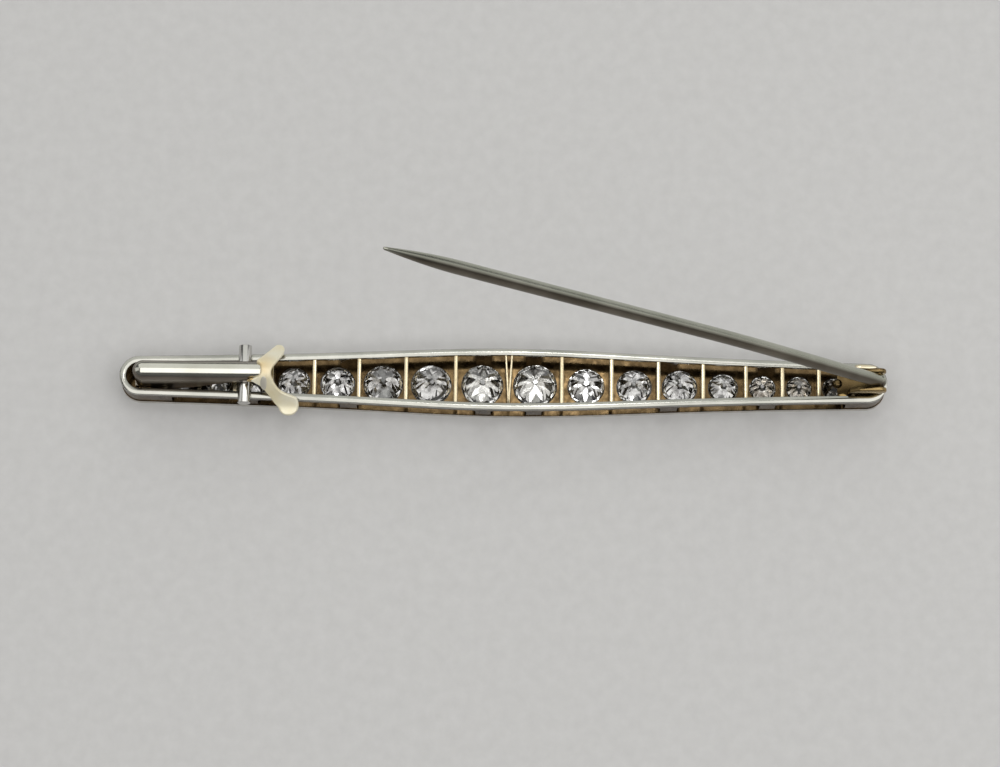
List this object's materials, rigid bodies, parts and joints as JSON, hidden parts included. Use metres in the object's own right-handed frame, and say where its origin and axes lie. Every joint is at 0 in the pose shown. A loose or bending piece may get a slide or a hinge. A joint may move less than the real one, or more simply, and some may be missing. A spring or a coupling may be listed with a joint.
{
  "type": "bar brooch",
  "caption": "Slim bow-sided bar brooch with a row of round cut stones, a hinged pin that swings open and a sprung fishtail cover that locks its tip.",
  "frame": {"origin": "centre of the bar's stone-set face, which it rests on", "axes": "+X along the bar from the catch to the pin's hinge, +Y across it, +Z out of its back"},
  "size_m": [0.064, 0.0064, 0.0405],
  "materials": {
    "polished_platinum": "polished white gold or platinum",
    "platinum_frame": "satin platinum",
    "yellow_gold": "polished yellow gold",
    "pale_gold": "worn white gold with a warm tint",
    "pin_metal": "drawn grey white-gold wire",
    "spring_steel": "plain spring metal",
    "diamond": "cut and polished"
  },
  "bodies": {
    "frame": {"back_rim": "polished_platinum", "catch_spring": "spring_steel", "cell_bar_left_1": "yellow_gold", "cell_bar_left_2": "yellow_gold", "cell_bar_left_3": "yellow_gold", "cell_bar_left_4": "yellow_gold", "cell_bar_left_5": "yellow_gold", "cell_bar_left_6": "yellow_gold", "cell_bar_left_7": "yellow_gold", "cell_bar_left_8": "yellow_gold", "cell_bar_middle": "yellow_gold", "cell_bar_right_1": "yellow_gold", "cell_bar_right_2": "yellow_gold", "cell_bar_right_3": "yellow_gold", "cell_bar_right_4": "yellow_gold", "cell_bar_right_5": "yellow_gold", "cell_bar_right_6": "yellow_gold", "cell_bar_right_7": "yellow_gold", "cell_bar_right_8": "yellow_gold", "cover_lug_far": "yellow_gold", "cover_lug_near": "yellow_gold", "cover_rivet": "spring_steel", "cross_bar": "polished_platinum", "diamond_left_1": "diamond", "diamond_left_2": "diamond", "diamond_left_3": "diamond", "diamond_left_4": "diamond", "diamond_left_5": "diamond", "diamond_left_6": "diamond", "diamond_left_7": "diamond", "diamond_left_8": "diamond", "diamond_right_1": "diamond", "diamond_right_2": "diamond", "diamond_right_3": "diamond", "diamond_right_4": "diamond", "diamond_right_5": "diamond", "diamond_right_6": "diamond", "diamond_right_7": "diamond", "diamond_right_8": "diamond", "front_plate": "platinum_frame", "gallery_wall": "platinum_frame", "hinge_ear_far": "yellow_gold", "hinge_ear_near": "yellow_gold", "hinge_plate": "yellow_gold", "hinge_rivet": "pin_metal"},
    "pin": {"pin_stem": "pin_metal", "pin_knuckle": "pin_metal"},
    "cover": {"catch_cover": "polished_platinum", "thumb_piece": "pale_gold"}
  },
  "joints": [
    {"name": "pin_hinge", "type": "hinge", "parent": "frame", "child": "pin", "pos_m": [0.0313, 0, 0.00368], "axis": [0, 1, 0], "range_deg": [-41.5, 58]},
    {"name": "cover_hinge", "type": "hinge", "parent": "frame", "child": "cover", "pos_m": [-0.02995, 0, 0.0019], "axis": [0, -1, 0], "range_deg": [0, 22], "stiffness_Nm_per_rad": 0.002, "springref_deg": -17.19}
  ]
}
